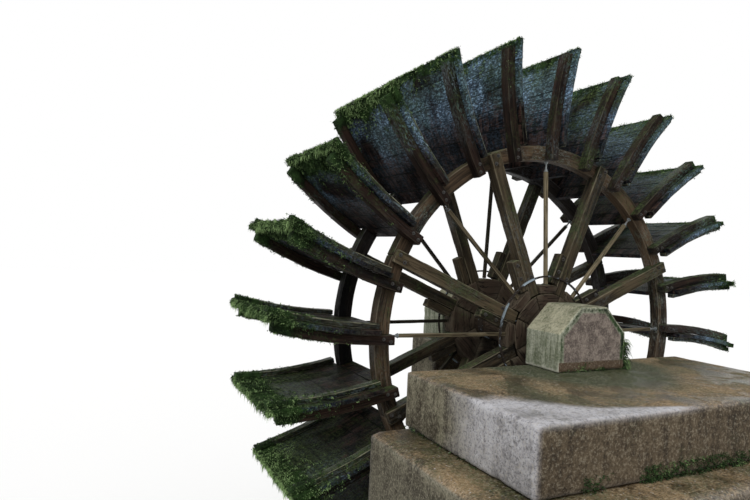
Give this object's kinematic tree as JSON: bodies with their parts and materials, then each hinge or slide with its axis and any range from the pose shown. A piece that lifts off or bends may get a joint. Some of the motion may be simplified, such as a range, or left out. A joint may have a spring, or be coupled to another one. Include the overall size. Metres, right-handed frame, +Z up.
{
  "type": "timber water wheel on concrete piers",
  "caption": "Timber water wheel with curved paddles on twin rings, radial arms and struts, an iron-hooped shaft, and concrete bearing blocks and piers.",
  "frame": {"origin": "on the stream bed, under the middle of the bounding box of the wheel and its piers", "axes": "+Z up; the axle runs along Y, the near side with the large pier faces -Y, and +X is to the right seen from the near side"},
  "size_m": [4.5912, 3.121, 4.8456],
  "materials": {
    "pier_concrete": "worn wet concrete with brown and green stains",
    "block_concrete": "pinkish grey concrete with algae on its edges",
    "shaft_timber": "dark reddish brown wet timber",
    "iron": "dull rusted iron",
    "ring_timber": "weathered reddish brown timber",
    "arm_timber": "olive brown timber with yellow-green algae",
    "strut_timber": "light tan weathered timber",
    "rib_timber": "black-brown wet timber",
    "batten_timber": "green-grey wet timber with moss",
    "board_timber": "dark wet planks, blue-grey sheen, bright moss on the tips"
  },
  "bodies": {
    "piers": {"near_plinth": "pier_concrete", "near_pier": "pier_concrete", "near_bearing_block": "block_concrete", "far_pier": "pier_concrete", "far_bearing_block": "block_concrete"},
    "wheel": {"shaft": "shaft_timber", "gudgeons": "iron", "hub_discs": "shaft_timber", "hub_hoops": "iron", "ring_front": "ring_timber", "ring_back": "ring_timber", "arms_front": "arm_timber", "arms_back": "arm_timber", "arm_cleats": "arm_timber", "struts_front": "strut_timber", "struts_back": "strut_timber", "strut_rods": "iron", "ribs_front": "rib_timber", "ribs_back": "rib_timber", "battens_front": "batten_timber", "battens_back": "batten_timber", "paddle_board_01": "board_timber", "paddle_board_02": "board_timber", "paddle_board_03": "board_timber", "paddle_board_04": "board_timber", "paddle_board_05": "board_timber", "paddle_board_06": "board_timber", "paddle_board_07": "board_timber", "paddle_board_08": "board_timber", "paddle_board_09": "board_timber", "paddle_board_10": "board_timber", "paddle_board_11": "board_timber", "paddle_board_12": "board_timber", "paddle_board_13": "board_timber", "paddle_board_14": "board_timber", "paddle_board_15": "board_timber", "paddle_board_16": "board_timber", "paddle_board_17": "board_timber", "paddle_board_18": "board_timber", "paddle_board_19": "board_timber", "paddle_board_20": "board_timber", "paddle_board_21": "board_timber", "paddle_board_22": "board_timber", "paddle_board_23": "board_timber", "paddle_board_24": "board_timber"}
  },
  "joints": [
    {"name": "wheel_spin", "type": "hinge", "parent": "piers", "child": "wheel", "pos_m": [0, 0.5575, 2.55], "axis": [0, -1, 0], "continuous": true}
  ]
}
